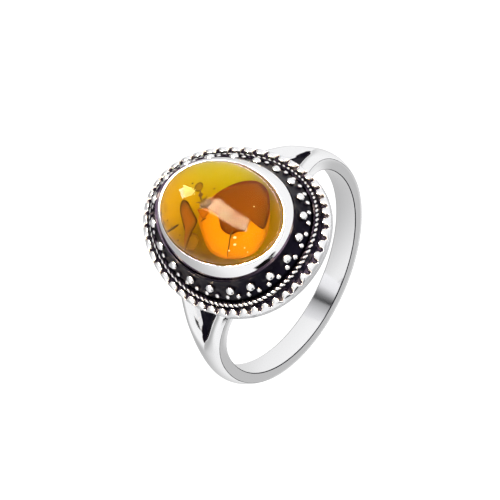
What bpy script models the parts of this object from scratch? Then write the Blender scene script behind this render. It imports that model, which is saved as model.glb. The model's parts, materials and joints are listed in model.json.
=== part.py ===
"""A silver dress ring with an oval amber cabochon that holds plant and insect debris.

Each piece is modelled in the ring's own frame: the middle of the finger hole at the origin, +Y along
the finger and +Z towards the stone. An empty then lays the ring on its side, as it comes to rest on a
table, and every piece is its child.
"""

import math

import bmesh
import bpy
from mathutils import Matrix, Vector

MM = 0.001
CLEARANCE = 0.05 * MM

# The shank: a flat-sided band with a low crown, which widens and splits towards the head.
FINGER_RADIUS = 8.65 * MM
BACK_HALF_WIDTH = 1.0 * MM
HEAD_HALF_WIDTH = 2.35 * MM
SIDE_HEIGHT = 0.88 * MM
SHOULDER_SIDE_HEIGHT = 1.05 * MM
CROWN_HEIGHT = 0.38 * MM
BRIDGE_HEIGHT = 0.5 * MM
INNER_CHAMFER = 0.12 * MM
FLARE_ANGLE = 86
HEAD_ANGLE = 42
BRIDGE_ANGLE = 30
SPLIT_ANGLE = 62
WEB_HALF_GAP = 1.0 * MM
WEB_RADIUS = 9.10 * MM
WEB_TIP_RADIUS = 9.45 * MM
ARM_CREST = 0.70
ARM_DIP = 0.30 * MM
BACK_STATIONS = 33
SHOULDER_STEP = 3
BRIDGE_STEP = 9
CROWN_POINTS = 9

# The head. A ring of the head is (half length, half width, height, saddle), all in millimetres: an
# oval with its long axis on Y, whose ends on Y stand one saddle above that height and whose sides on
# X one saddle below it, because the head bends over the finger.
FLOOR_EDGE = (6.08, 4.87, 10.15, 0.0)
LEDGE_TOP = (6.10, 4.89, 11.07, 0.49)
LEDGE_FOOT = (6.89, 5.68, 9.30, 0.92)
CHANNEL_INNER = (6.90, 5.69, 8.66, 1.00)
CHANNEL_OUTER = (7.44, 6.23, 8.60, 0.96)
WIRE_LINE = (7.17, 5.96, 8.92, 0.99)
SCALLOP_FOOT = (7.62, 6.26, 8.42, 0.84)
SCALLOP_INNER = (7.74, 6.38, 8.76, 0.82)
SCALLOP_OUTER = (8.03, 6.67, 8.80, 0.80)
SCALLOP_EDGE = (8.17, 6.81, 8.58, 0.80)
NOTCH_INNER = (7.74, 6.38, 8.38, 0.83)
NOTCH_OUTER = (7.97, 6.61, 8.34, 0.80)
NOTCH_EDGE = (8.16, 6.80, 8.44, 0.80)
WALL_FOOT = (8.17, 6.81, 7.905, 0.80)
UNDERSIDE_EDGE = (5.90, 4.70, 8.324, 0.381)
HOLLOW_EDGE = (5.85, 4.65, 9.55, 0.0)
SCALLOPS = 46

# The beads stand on the sloping ledge: 20 large ones in the upper row, 40 small ones in the lower.
LARGE_BEADS = 20
LARGE_BEAD_RADIUS = 0.37 * MM
LARGE_BEAD_LINE = (6.56, 5.35, 10.16, 0.73)
SMALL_BEADS = 40
SMALL_BEAD_RADIUS = 0.21 * MM
SMALL_BEAD_LINE = (6.80, 5.59, 9.58, 0.86)

# The twisted wire: 92 strands show around it.
WIRE_HALF_DIAGONAL = 0.225 * MM
WIRE_STATIONS = 138
WIRE_CORNERS = 4
WIRE_TURN = 60

# The bezel collar that holds the stone, from its inner foot over the lip to its outer foot.
BEZEL_RINGS = (
    (5.44, 4.08, 10.20, 0.0),
    (5.41, 4.05, 11.74, 0.0),
    (5.45, 4.09, 11.92, 0.0),
    (5.62, 4.28, 11.95, 0.06),
    (5.88, 4.60, 11.62, 0.25),
    (6.03, 4.80, 11.12, 0.44),
    (6.03, 4.81, 10.20, 0.0),
)
BEZEL_STATIONS = 40

# The amber: an oval cabochon with a nearly flat back, parted where its girdle leaves the bezel.
STONE_HALF_LENGTH = 5.36 * MM
STONE_HALF_WIDTH = 4.00 * MM
STONE_FOOT = 10.20 * MM
STONE_PARTING = 11.90 * MM
STONE_TOP = 14.35 * MM
STONE_STATIONS = 36
DOME_RINGS = 5

# What is sealed in the amber, as places (x, y) in the ring's frame, at the parting.
POCKET_MARGIN = 0.06 * MM
LEAF_OUTLINE = (
    (0.26, -2.66),
    (0.66, -1.85),
    (0.95, -1.35),
    (1.25, -0.97),
    (2.20, -0.92),
    (3.30, -1.05),
    (2.20, -1.14),
    (1.46, -2.13),
    (0.90, -2.68),
)
LEAF_THICKNESS = 0.16 * MM
TWIG_ENDS = ((2.62, -2.72), (1.98, -2.10))
TWIG_RADIUS = 0.10 * MM
BODY_CENTRE = (-0.03, -1.00)
BODY_HALF_SIZES = (0.30 * MM, 0.52 * MM, 0.24 * MM)
HEAD_CENTRE = (-0.42, -1.62)
HEAD_RADIUS = 0.22 * MM
LEG_RADIUS = 0.05 * MM
LEGS = (
    ((-0.28, -1.30), (-0.72, -1.12)),
    ((-0.05, -0.72), (-0.50, -0.36)),
    ((0.12, -1.30), (0.40, -1.66)),
    ((0.22, -0.98), (0.66, -1.12)),
    ((0.16, -0.68), (0.52, -0.44)),
    ((-0.50, -1.76), (-0.82, -2.10)),
)

SILVER = ("polished silver", (0.86, 0.86, 0.87), 0.12, 1.0)
OXIDISED = ("oxidised silver", (0.10, 0.10, 0.13), 0.42, 1.0)
AMBER = ("amber", (0.90, 0.52, 0.03), 0.04, 0.0)
LEAF_BROWN = ("leaf brown", (0.34, 0.11, 0.02), 0.6, 0.0)
TWIG_BROWN = ("twig brown", (0.10, 0.05, 0.01), 0.7, 0.0)
INSECT_BROWN = ("insect brown", (0.13, 0.08, 0.07), 0.6, 0.0)


def clear_scene():
    for old in list(bpy.data.objects):
        bpy.data.objects.remove(old, do_unlink=True)


def material(look):
    """One Principled material per look, made on first use."""
    name, colour, roughness, metallic = look
    found = bpy.data.materials.get(name)
    if found:
        return found
    made = bpy.data.materials.new(name)
    made.use_nodes = True
    shader = made.node_tree.nodes["Principled BSDF"]
    shader.inputs["Base Color"].default_value = (*colour, 1)
    shader.inputs["Roughness"].default_value = roughness
    shader.inputs["Metallic"].default_value = metallic
    if look is AMBER:
        shader.inputs["Transmission Weight"].default_value = 1
        shader.inputs["IOR"].default_value = 1.54
    return made


def object_from(mesh, name, look):
    """Puts a bmesh in the scene as an object, facing outwards and shaded smooth but for its edges."""
    bmesh.ops.recalc_face_normals(mesh, faces=mesh.faces)
    data = bpy.data.meshes.new(name)
    mesh.to_mesh(data)
    mesh.free()
    data.shade_smooth()
    data.set_sharp_from_angle(angle=math.radians(35))
    data.materials.append(material(look))
    made = bpy.data.objects.new(name, data)
    bpy.context.collection.objects.link(made)
    return made


def add_loft(mesh, sections, closed=True, caps=False):
    """Joins closed sections of equally many points into a tube, round into itself where closed."""
    loops = [[mesh.verts.new(point) for point in section] for section in sections]
    pairs = list(zip(loops, loops[1:]))
    if closed:
        pairs.append((loops[-1], loops[0]))
    count = len(loops[0])
    for near, far in pairs:
        for i in range(count):
            j = (i + 1) % count
            mesh.faces.new((near[i], near[j], far[j], far[i]))
    if caps:
        mesh.faces.new(loops[0])
        mesh.faces.new(loops[-1])


def boolean(target, cutter, operation="DIFFERENCE"):
    """Cuts or joins another object, which then counts as a helper."""
    modifier = target.modifiers.new(cutter.name, "BOOLEAN")
    modifier.operation = operation
    modifier.object = cutter
    cutter.hide_render = True
    cutter.display_type = "WIRE"


def smooth_share(value, start, end):
    share = min(1, max(0, (value - start) / (end - start)))
    return share * share * (3 - 2 * share)


def on_oval(ring, turn):
    """The point of a head ring at this turn in radians, counted from +X towards +Y."""
    half_length, half_width, height, saddle = ring
    rise = height - saddle * math.cos(2 * turn)
    return Vector((half_width * math.cos(turn), half_length * math.sin(turn), rise)) * MM


def even_turns(ring, count, phase=0.0):
    """Turns that space so many points evenly along a head ring, the first one phase pitches on."""
    steps = 1440
    turns = [math.tau * i / steps for i in range(steps + 1)]
    lengths = [0.0]
    for here, there in zip(turns, turns[1:]):
        lengths.append(lengths[-1] + (on_oval(ring, there) - on_oval(ring, here)).length)
    found = []
    at = 0
    for i in range(count):
        wanted = (i + phase) / count * lengths[-1]
        while lengths[at + 1] < wanted:
            at += 1
        share = (wanted - lengths[at]) / (lengths[at + 1] - lengths[at])
        found.append(turns[at] + share * (turns[at + 1] - turns[at]))
    return found


# The shank.


def half_width(angle):
    share = min(1.15, max(0, (FLARE_ANGLE - abs(angle)) / (FLARE_ANGLE - HEAD_ANGLE)))
    return BACK_HALF_WIDTH + (HEAD_HALF_WIDTH - BACK_HALF_WIDTH) * share * share


def side_height(angle):
    shoulder = smooth_share(-abs(angle), -FLARE_ANGLE, -HEAD_ANGLE)
    height = SIDE_HEIGHT + (SHOULDER_SIDE_HEIGHT - SIDE_HEIGHT) * shoulder
    bridge = smooth_share(-abs(angle), -HEAD_ANGLE + 2, -BRIDGE_ANGLE)
    return height + (BRIDGE_HEIGHT - height) * bridge


def crown_height(angle):
    return CROWN_HEIGHT * smooth_share(abs(angle), BRIDGE_ANGLE - 10, BRIDGE_ANGLE + 10)


def around(angle, radius, along):
    """A point at this angle from the head and this radius about the finger, along it."""
    turn = math.radians(angle)
    return Vector((radius * math.sin(turn), along, radius * math.cos(turn)))


def shank_section(angle):
    half = half_width(angle)
    side = side_height(angle)
    crown = crown_height(angle)
    split = smooth_share(-abs(angle), -SPLIT_ANGLE - 4, -HEAD_ANGLE)
    points = []
    for i in range(CROWN_POINTS):
        across = 2 * i / (CROWN_POINTS - 1) - 1
        one_crown = crown * (1 - across**2)
        crest = crown * max(0, 1 - ((abs(across) - ARM_CREST) / (1 - ARM_CREST)) ** 2)
        two_arms = crest - ARM_DIP * (1 - smooth_share(abs(across), 0, ARM_CREST))
        rise = side + (1 - split) * one_crown + split * two_arms
        points.append(around(angle, FINGER_RADIUS + rise, across * half))
    points.append(around(angle, FINGER_RADIUS + INNER_CHAMFER, half))
    points.append(around(angle, FINGER_RADIUS, half - INNER_CHAMFER))
    points.append(around(angle, FINGER_RADIUS, INNER_CHAMFER - half))
    points.append(around(angle, FINGER_RADIUS + INNER_CHAMFER, -half))
    return points


def shank_angles():
    """Station angles from the head, closer together at the shoulders, with none right at the back."""
    back_start = SPLIT_ANGLE + 4
    shoulder_start = HEAD_ANGLE - 6
    sweep = 360 - 2 * back_start
    right = list(range(shoulder_start, back_start, SHOULDER_STEP))
    back = [back_start + sweep * i / BACK_STATIONS for i in range(BACK_STATIONS + 1)]
    left = [360 - angle for angle in reversed(right)]
    bridge = [360 + angle for angle in range(BRIDGE_STEP - shoulder_start, shoulder_start, BRIDGE_STEP)]
    return right + back + left + bridge


def signed(angle):
    return angle - 360 if angle > 180 else angle


def web_cutter(side):
    """A wedge that splits one shoulder in two arms and leaves a web at their foot."""
    mesh = bmesh.new()
    sections = []
    for angle in range(HEAD_ANGLE - 8, SPLIT_ANGLE + 1, 2):
        share = (SPLIT_ANGLE - angle) / (SPLIT_ANGLE - HEAD_ANGLE)
        gap = WEB_HALF_GAP * share**1.4 + 0.01 * MM
        floor = WEB_TIP_RADIUS + (WEB_RADIUS - WEB_TIP_RADIUS) * min(1, share)
        outside = FINGER_RADIUS + 3 * MM
        corners = ((floor, -gap), (floor, gap), (outside, gap * 1.15), (outside, -gap * 1.15))
        sections.append([around(side * angle, radius, along) for radius, along in corners])
    add_loft(mesh, sections, closed=False, caps=True)
    return object_from(mesh, "web cutter", OXIDISED)


def head_seat_cutter():
    """Takes off the band what the head's own wall fills."""

    def grown(ring, by, height):
        return (ring[0] + by, ring[1] + by, height, ring[3])

    gap = CLEARANCE / MM
    above = STONE_FOOT / MM
    rings = (
        grown(UNDERSIDE_EDGE, -gap, UNDERSIDE_EDGE[2] - gap),
        grown(WALL_FOOT, gap, WALL_FOOT[2] - gap),
        grown(WALL_FOOT, gap, above),
        grown(UNDERSIDE_EDGE, -gap, above),
    )
    mesh = bmesh.new()
    turns = even_turns(WALL_FOOT, SCALLOPS)
    add_loft(mesh, [[on_oval(ring, turn) for ring in rings] for turn in turns])
    return object_from(mesh, "head seat cutter", OXIDISED)


def make_band():
    mesh = bmesh.new()
    add_loft(mesh, [shank_section(signed(angle)) for angle in shank_angles()])
    band = object_from(mesh, "band", SILVER)
    boolean(band, head_seat_cutter())
    boolean(band, web_cutter(1))
    boolean(band, web_cutter(-1))
    return band


# The head.


def bead_row(mesh, ring, count, phase, radius, detail):
    for turn in even_turns(ring, count, phase):
        place = Matrix.Translation(on_oval(ring, turn)) @ Matrix.Rotation(turn, 4, "Z")
        bmesh.ops.create_icosphere(mesh, subdivisions=detail, radius=radius, matrix=place)


def make_setting():
    """The dark plate with its ledge, wire channel, notched edge and hollow underside."""
    knob = (
        FLOOR_EDGE,
        LEDGE_TOP,
        LEDGE_FOOT,
        CHANNEL_INNER,
        CHANNEL_OUTER,
        SCALLOP_FOOT,
        SCALLOP_INNER,
        SCALLOP_OUTER,
        SCALLOP_EDGE,
        WALL_FOOT,
        UNDERSIDE_EDGE,
        HOLLOW_EDGE,
    )
    notch = knob[:6] + (NOTCH_INNER, NOTCH_OUTER, NOTCH_EDGE) + knob[9:]
    mesh = bmesh.new()
    stations = [(turn, knob) for turn in even_turns(WALL_FOOT, SCALLOPS)]
    stations += [(turn, notch) for turn in even_turns(WALL_FOOT, SCALLOPS, 0.5)]
    stations.sort(key=lambda station: station[0])
    loops = []
    for turn, rings in stations:
        loops.append([mesh.verts.new(on_oval(ring, turn)) for ring in rings])
    for near, far in zip(loops, loops[1:] + loops[:1]):
        for i in range(len(knob) - 1):
            mesh.faces.new((near[i], near[i + 1], far[i + 1], far[i]))
    mesh.faces.new([loop[0] for loop in loops])
    mesh.faces.new([loop[-1] for loop in loops])
    setting = object_from(mesh, "setting", OXIDISED)
    beads = bmesh.new()
    bead_row(beads, LARGE_BEAD_LINE, LARGE_BEADS, 0.5, LARGE_BEAD_RADIUS, 2)
    bead_row(beads, SMALL_BEAD_LINE, SMALL_BEADS, 0.5, SMALL_BEAD_RADIUS, 1)
    boolean(setting, object_from(beads, "bead stock", SILVER), "UNION")
    return setting


def make_twisted_wire():
    mesh = bmesh.new()
    turns = even_turns(WIRE_LINE, WIRE_STATIONS)
    sections = []
    for i, turn in enumerate(turns):
        middle = on_oval(WIRE_LINE, turn)
        ahead = on_oval(WIRE_LINE, turn + 0.01) - on_oval(WIRE_LINE, turn - 0.01)
        outward = ahead.cross(Vector((0, 0, 1))).normalized()
        upward = outward.cross(ahead).normalized()
        section = []
        for corner in range(WIRE_CORNERS):
            twist = math.radians(i * WIRE_TURN + corner * 360 / WIRE_CORNERS)
            arm = outward * math.cos(twist) + upward * math.sin(twist)
            section.append(middle + arm * WIRE_HALF_DIAGONAL)
        sections.append(section)
    add_loft(mesh, sections)
    return object_from(mesh, "twisted_wire", SILVER)


def make_bezel():
    mesh = bmesh.new()
    turns = even_turns(BEZEL_RINGS[0], BEZEL_STATIONS)
    add_loft(mesh, [[on_oval(ring, turn) for ring in BEZEL_RINGS] for turn in turns])
    return object_from(mesh, "bezel", SILVER)


# The amber and what it holds.


def stone_ring(mesh, share, height):
    """One level of the stone, this share of its full oval."""
    ring = []
    for i in range(STONE_STATIONS):
        turn = math.tau * i / STONE_STATIONS
        across = STONE_HALF_WIDTH * share * math.cos(turn)
        along = STONE_HALF_LENGTH * share * math.sin(turn)
        ring.append(mesh.verts.new((across, along, height)))
    return ring


def skin_rings(mesh, rings):
    for below, above in zip(rings, rings[1:]):
        for i in range(STONE_STATIONS):
            j = (i + 1) % STONE_STATIONS
            mesh.faces.new((below[i], below[j], above[j], above[i]))
    mesh.faces.new(rings[0])
    mesh.faces.new(rings[-1])


def make_amber_base():
    mesh = bmesh.new()
    foot = stone_ring(mesh, 1, STONE_FOOT)
    parting = stone_ring(mesh, 1, STONE_PARTING - CLEARANCE / 4)
    skin_rings(mesh, [foot, parting])
    return object_from(mesh, "amber_base", AMBER)


def make_amber_crown():
    mesh = bmesh.new()
    low = STONE_PARTING + CLEARANCE / 4
    rings = []
    for i in range(DOME_RINGS + 1):
        lean = math.radians(82) * i / DOME_RINGS
        height = low + (STONE_TOP - low) * math.sin(lean) / math.sin(math.radians(82))
        rings.append(stone_ring(mesh, math.cos(lean), height))
    skin_rings(mesh, rings)
    return object_from(mesh, "amber_crown", AMBER)


def leaf_mesh(margin):
    """A flat curled flake on the parting; the margin grows it for the pocket around it."""
    mesh = bmesh.new()
    middle = Vector((sum(x for x, _ in LEAF_OUTLINE), sum(y for _, y in LEAF_OUTLINE))) / len(LEAF_OUTLINE)
    half = LEAF_THICKNESS / 2 + margin
    levels = []
    for height in (STONE_PARTING - half, STONE_PARTING + half):
        level = []
        for point in LEAF_OUTLINE:
            out = Vector(point) - middle
            x, y = (middle + out) * MM + out.normalized() * margin * 1.6
            level.append(mesh.verts.new((x, y, height)))
        levels.append(level)
    for i in range(len(LEAF_OUTLINE)):
        j = (i + 1) % len(LEAF_OUTLINE)
        mesh.faces.new((levels[0][i], levels[0][j], levels[1][j], levels[1][i]))
    mesh.faces.new(levels[0])
    mesh.faces.new(levels[1])
    return mesh


def rod(mesh, start, end, radius, sides=6, reach=0.0):
    """A straight round rod along the parting, longer at both ends by the reach."""
    first = Vector((*start, 0)) * MM + Vector((0, 0, STONE_PARTING))
    last = Vector((*end, 0)) * MM + Vector((0, 0, STONE_PARTING))
    along = last - first
    turn = along.to_track_quat("Z", "Y").to_matrix().to_4x4()
    place = Matrix.Translation((first + last) / 2) @ turn
    depth = along.length + 2 * reach
    bmesh.ops.create_cone(
        mesh, cap_ends=True, segments=sides, radius1=radius, radius2=radius, depth=depth, matrix=place
    )


def ball(mesh, centre, sizes):
    place = Matrix.Translation((centre[0] * MM, centre[1] * MM, STONE_PARTING))
    place = place @ Matrix.Rotation(math.radians(-20), 4, "Z") @ Matrix.Diagonal((*sizes, 1))
    bmesh.ops.create_icosphere(mesh, subdivisions=2, radius=1, matrix=place)


def make_insect(name, margin):
    """The dark bristly fragment: a body, a small head on a neck, and broken legs, joined in one."""
    body = bmesh.new()
    ball(body, BODY_CENTRE, [size + margin for size in BODY_HALF_SIZES])
    insect = object_from(body, name, INSECT_BROWN)
    head = bmesh.new()
    ball(head, HEAD_CENTRE, [HEAD_RADIUS + margin] * 3)
    boolean(insect, object_from(head, name + " head stock", INSECT_BROWN), "UNION")
    for i, (start, end) in enumerate(((BODY_CENTRE, HEAD_CENTRE), *LEGS)):
        leg = bmesh.new()
        reach = 0.10 * MM + margin
        rod(leg, start, end, LEG_RADIUS + margin, reach=reach)
        boolean(insect, object_from(leg, f"{name} leg stock {i}", INSECT_BROWN), "UNION")
    return insect


def make_amber_with_contents():
    """The two halves of the stone, with a pocket between them for each thing sealed inside."""
    leaf = object_from(leaf_mesh(0), "leaf_flake", LEAF_BROWN)
    leaf_pocket = object_from(leaf_mesh(POCKET_MARGIN), "leaf pocket", AMBER)
    twig_mesh = bmesh.new()
    rod(twig_mesh, *TWIG_ENDS, TWIG_RADIUS)
    twig = object_from(twig_mesh, "twig", TWIG_BROWN)
    pocket_mesh = bmesh.new()
    rod(pocket_mesh, *TWIG_ENDS, TWIG_RADIUS + POCKET_MARGIN, reach=POCKET_MARGIN)
    twig_pocket = object_from(pocket_mesh, "twig pocket", AMBER)
    insect = make_insect("insect_fragment", 0)
    insect_pocket = make_insect("insect pocket", POCKET_MARGIN)
    halves = [make_amber_base(), make_amber_crown()]
    for half in halves:
        for pocket in (leaf_pocket, twig_pocket, insect_pocket):
            boolean(half, pocket)
    return halves + [leaf, twig, insect]


# The pose: on its side, resting on the head's wall and the far edge of the band's back.


def world_points(things):
    bpy.context.view_layer.update()
    graph = bpy.context.evaluated_depsgraph_get()
    found = []
    for thing in things:
        evaluated = thing.evaluated_get(graph)
        found += [evaluated.matrix_world @ vertex.co for vertex in evaluated.data.vertices]
    return found


def lay_on_side(things):
    pose = bpy.data.objects.new("resting pose", None)
    bpy.context.collection.objects.link(pose)
    for thing in things:
        thing.parent = pose
    foot = Vector((-on_oval(WALL_FOOT, math.radians(90)).y, on_oval(WALL_FOOT, math.radians(90)).z))
    back = Vector((-BACK_HALF_WIDTH, -(FINGER_RADIUS + SIDE_HEIGHT)))
    tilt = math.atan2(back.x - foot.x, foot.y - back.y)
    pose.rotation_euler = (math.pi / 2 - tilt, 0, 0)
    points = world_points(things)
    low = [min(point[axis] for point in points) for axis in range(3)]
    high = [max(point[axis] for point in points) for axis in range(3)]
    pose.location = (-(low[0] + high[0]) / 2, -(low[1] + high[1]) / 2, -low[2])


def main():
    clear_scene()
    things = [make_band(), make_setting(), make_twisted_wire(), make_bezel()]
    things += make_amber_with_contents()
    helpers = [thing for thing in bpy.data.objects if thing.hide_render]
    lay_on_side(things)
    for helper in helpers:
        helper.parent = things[0].parent
    bpy.context.view_layer.update()


main()
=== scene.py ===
# %% [markdown]
# # A silver ring with an amber cabochon
#
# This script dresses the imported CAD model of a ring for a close-up picture. The CAD model is the fixed
# frame: each cell below makes one visible piece, fitted to the place of the CAD node it stands for.
# All shapes are drawn in the ring's own frame, in millimetres: the middle of the finger hole is the
# origin, +Y runs along the finger and +Z points to the stone. One matrix then lays them in the pose.

import json
import math

import bmesh
import bpy
import numpy as np
from mathutils import Matrix, Vector, kdtree


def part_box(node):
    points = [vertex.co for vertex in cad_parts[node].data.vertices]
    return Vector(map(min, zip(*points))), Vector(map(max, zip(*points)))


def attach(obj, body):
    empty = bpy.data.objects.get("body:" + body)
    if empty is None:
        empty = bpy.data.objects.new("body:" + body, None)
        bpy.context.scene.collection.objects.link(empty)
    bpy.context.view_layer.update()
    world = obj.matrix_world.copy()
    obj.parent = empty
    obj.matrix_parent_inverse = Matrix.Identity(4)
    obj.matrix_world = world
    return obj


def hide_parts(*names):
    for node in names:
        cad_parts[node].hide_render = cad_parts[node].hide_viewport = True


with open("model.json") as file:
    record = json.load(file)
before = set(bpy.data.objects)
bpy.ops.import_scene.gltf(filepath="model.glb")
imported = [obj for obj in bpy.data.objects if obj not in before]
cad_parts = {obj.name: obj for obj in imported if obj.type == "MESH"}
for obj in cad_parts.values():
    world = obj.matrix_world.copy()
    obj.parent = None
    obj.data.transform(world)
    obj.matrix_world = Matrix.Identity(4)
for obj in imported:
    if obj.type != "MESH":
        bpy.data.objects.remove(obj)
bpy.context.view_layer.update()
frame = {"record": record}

# %% [markdown]
# ## The pose
#
# The ring lies on its side. The record's mount face looks along the finger, so its axis gives +Y of the
# ring's frame. The stone's foot gives the origin, because its middle is a known height over the finger.

# %% The matrix from the ring's frame to the world
MM = 0.001
STONE_FOOT = 10.20
STONE_PARTING = 11.90
BASE_TOP = 11.8875

finger_axis = Vector(frame["record"]["mounts"][0]["axis"]).normalized()
cross_axis = Vector((1, 0, 0))
head_axis = cross_axis.cross(finger_axis)
low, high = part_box("amber_base")
middle = (low + high) / 2 - head_axis * (STONE_FOOT + BASE_TOP) / 2 * MM
pose = Matrix((cross_axis, finger_axis, head_axis)).transposed().to_4x4() @ Matrix.Scale(MM, 4)
pose.translation = middle
print("middle of the finger hole:", [round(v * 1000, 3) for v in middle], "mm")


# %% [markdown]
# ## The camera
#
# The photo was taken with a long lens from above the head, well turned round the view axis. The three
# view axes below are the ones that bring the fitted outlines of stone, rim and band onto the photo.

# %% The camera
VIEW_RIGHT = Vector((-0.48007, 0.78773, -0.38601))
VIEW_UP = Vector((-0.86632, -0.35656, 0.34979))
VIEW_BACK = Vector((0.1379, 0.50234, 0.85361))
VIEW_DISTANCE = 333.333
VIEW_OFFSET = (-2.373264, 1.338375)
FOCAL_PIXELS = 4207.5
PICTURE_WIDTH = 500


def placed(name, data):
    """An object of this name with this data, linked into the scene."""
    made = bpy.data.objects.new(name, data)
    bpy.context.scene.collection.objects.link(made)
    return made


camera_data = bpy.data.cameras.new("camera")
camera_data.sensor_width = 36
camera_data.lens = FOCAL_PIXELS / PICTURE_WIDTH * camera_data.sensor_width
camera_data.clip_start = 0.01
camera_data.clip_end = 10
camera = placed("camera", camera_data)
eye = VIEW_RIGHT * VIEW_OFFSET[0] + VIEW_UP * VIEW_OFFSET[1] + VIEW_BACK * VIEW_DISTANCE
turn = pose.to_3x3().normalized() @ Matrix((VIEW_RIGHT, VIEW_UP, VIEW_BACK)).transposed()
camera.matrix_world = Matrix.Translation(pose @ eye) @ turn.to_4x4()
bpy.context.scene.camera = camera
bpy.context.scene.view_settings.view_transform = "Standard"
print("camera at", [round(v, 4) for v in pose @ eye])

# %% [markdown]
# ## Head rings
#
# Everything in the head follows ovals round the stone. A head ring is (half length on Y, half width on
# X, height, saddle): its ends on Y stand one saddle above the height and its sides on X one below it,
# because a wide head is bent over the finger. A silversmith gets the same from a flat punched plate.

# %% Points and even spacing on a head ring


def on_oval(ring, turns):
    """Points of a head ring at these turns in radians, as an array of shape (..., 3)."""
    half_length, half_width, height, saddle = ring
    turns = np.asarray(turns, float)
    return np.stack(
        (half_width * np.cos(turns), half_length * np.sin(turns), height - saddle * np.cos(2 * turns)), -1
    )


def even_turns(ring, count, phase=0.0):
    """Turns that space so many points evenly by arc length, the first one phase pitches on."""
    fine = np.linspace(0, math.tau, 5761)
    steps = np.linalg.norm(np.diff(on_oval(ring, fine), axis=0), axis=1)
    lengths = np.concatenate(([0], np.cumsum(steps)))
    wanted = (np.arange(count) + phase) / count * lengths[-1]
    return np.interp(wanted, lengths, fine)


def smooth_share(value, start, end):
    share = np.clip((value - start) / (end - start), 0, 1)
    return share * share * (3 - 2 * share)


def blend_rings(ring, other, share):
    return tuple(a + (b - a) * share for a, b in zip(ring, other))


print("a head ring's first point:", on_oval((8.17, 6.81, 7.9, 0.8), 0.0).round(3))

# %% [markdown]
# ## From grids to pieces
#
# Most of the ring is lofted: a grid of points whose first index runs round the head or the finger, and
# whose second index runs round the profile. Each point can carry values, such as how bare its silver is,
# which the materials read as attributes.

# %% Make an object from a grid of points


def mesh_object(name, points, faces, values=None):
    """An object from points in the ring's frame, with named values per point, facing outwards."""
    data = bpy.data.meshes.new(name)
    data.from_pydata([pose @ Vector(point) for point in points], [], faces)
    for key, numbers in (values or {}).items():
        layer = data.attributes.new(key, "FLOAT", "POINT")
        layer.data.foreach_set("value", np.asarray(numbers, np.float32).ravel())
    mesh = bmesh.new()
    mesh.from_mesh(data)
    bmesh.ops.recalc_face_normals(mesh, faces=mesh.faces)
    mesh.to_mesh(data)
    mesh.free()
    data.shade_smooth()
    return placed(name, data)


def grid_faces(rows, columns, wrap_rows=True, wrap_columns=True):
    """Quads between neighbours in a grid, round into itself in either direction."""
    faces = []
    for i in range(rows if wrap_rows else rows - 1):
        for j in range(columns if wrap_columns else columns - 1):
            near, far = i * columns, (i + 1) % rows * columns
            after = (j + 1) % columns
            faces.append((near + j, near + after, far + after, far + j))
    return faces


def ring_faces(near, far, count):
    """Quads between two closed loops of points that start at these numbers."""
    return [(near + j, near + (j + 1) % count, far + (j + 1) % count, far + j) for j in range(count)]


def cap_faces(start, count, pole):
    """Triangles from a closed loop of points to its pole."""
    return [(start + j, start + (j + 1) % count, pole) for j in range(count)]


def finish_piece(piece, material, slot, *nodes):
    """Gives the piece its material, hangs it on the root body and hides the CAD nodes it stands for."""
    if material is not None:
        piece.data.materials.clear()
        piece.data.materials.append(material)
    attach(piece, "root")
    if nodes:
        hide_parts(*nodes)
    print(f"{piece.name}: {len(piece.data.polygons)} faces")


# %% [markdown]
# ## Silver
#
# Sterling silver is nearly white. What makes it readable is what it mirrors, fine polishing marks, and
# the liver-of-sulphur patina left in the recesses. One node group gives the marks as a bump height and
# a roughness, another mixes dark and bare metal from a mask, broken up by noise at its edge. The mask
# also carries painted dark lines on the band's edges, which stand in for reflections.

# %% Node groups for polish marks and patina


def new_group(name, inputs, outputs):
    group = bpy.data.node_groups.new(name, "ShaderNodeTree")
    for kind, label, value in inputs:
        socket = group.interface.new_socket(label, in_out="INPUT", socket_type=kind)
        socket.default_value = value
    for kind, label in outputs:
        group.interface.new_socket(label, in_out="OUTPUT", socket_type=kind)
    return group, group.nodes.new("NodeGroupInput"), group.nodes.new("NodeGroupOutput")


def add(tree, kind, links=None, **settings):
    """A node with its settings, its sockets linked or set by name."""
    node = tree.nodes.new(kind)
    for key, value in settings.items():
        setattr(node, key, value)
    for label, value in (links or {}).items():
        socket = node.inputs[label]
        if isinstance(value, bpy.types.NodeSocket):
            tree.links.new(value, socket)
        else:
            socket.default_value = value
    return node


def noise_in(tree, scale, detail):
    """Noise on the object's own coordinates."""
    place = add(tree, "ShaderNodeTexCoord").outputs["Object"]
    return add(tree, "ShaderNodeTexNoise", {"Vector": place, "Scale": scale, "Detail": detail}).outputs["Fac"]


def math_node(tree, operation, *values, **settings):
    return add(tree, "ShaderNodeMath", dict(enumerate(values)), operation=operation, **settings).outputs[0]


def vector_node(tree, operation, *values):
    return add(tree, "ShaderNodeVectorMath", dict(enumerate(values)), operation=operation).outputs[0]


def remap(tree, value, low, high, start=0.0, end=1.0, **settings):
    """The value brought from between low and high to between start and end."""
    links = {"Value": value, "From Min": low, "From Max": high, "To Min": start, "To Max": end}
    return add(tree, "ShaderNodeMapRange", links, **settings).outputs["Result"]


def mix_colours(tree, share, first, second):
    links = {"Factor": share, "A": first, "B": second}
    return add(tree, "ShaderNodeMix", links, data_type="RGBA").outputs[2]


def ramp_node(tree, share, stops):
    """A colour ramp with these stops, each a place and three numbers."""
    ramp = add(tree, "ShaderNodeValToRGB", {"Fac": share})
    elements = ramp.color_ramp.elements
    elements.remove(elements[1])
    for i, (place, tone) in enumerate(stops):
        stop = elements[0] if i < 1 else elements.new(place)
        stop.position = place
        stop.color = (*tone, 1)
    return ramp.outputs["Color"]


def bump_node(tree, height, strength, distance):
    return add(tree, "ShaderNodeBump", {"Height": height, "Strength": strength, "Distance": distance})


def attribute(tree, name):
    return add(tree, "ShaderNodeAttribute", attribute_name=name).outputs["Fac"]


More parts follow.
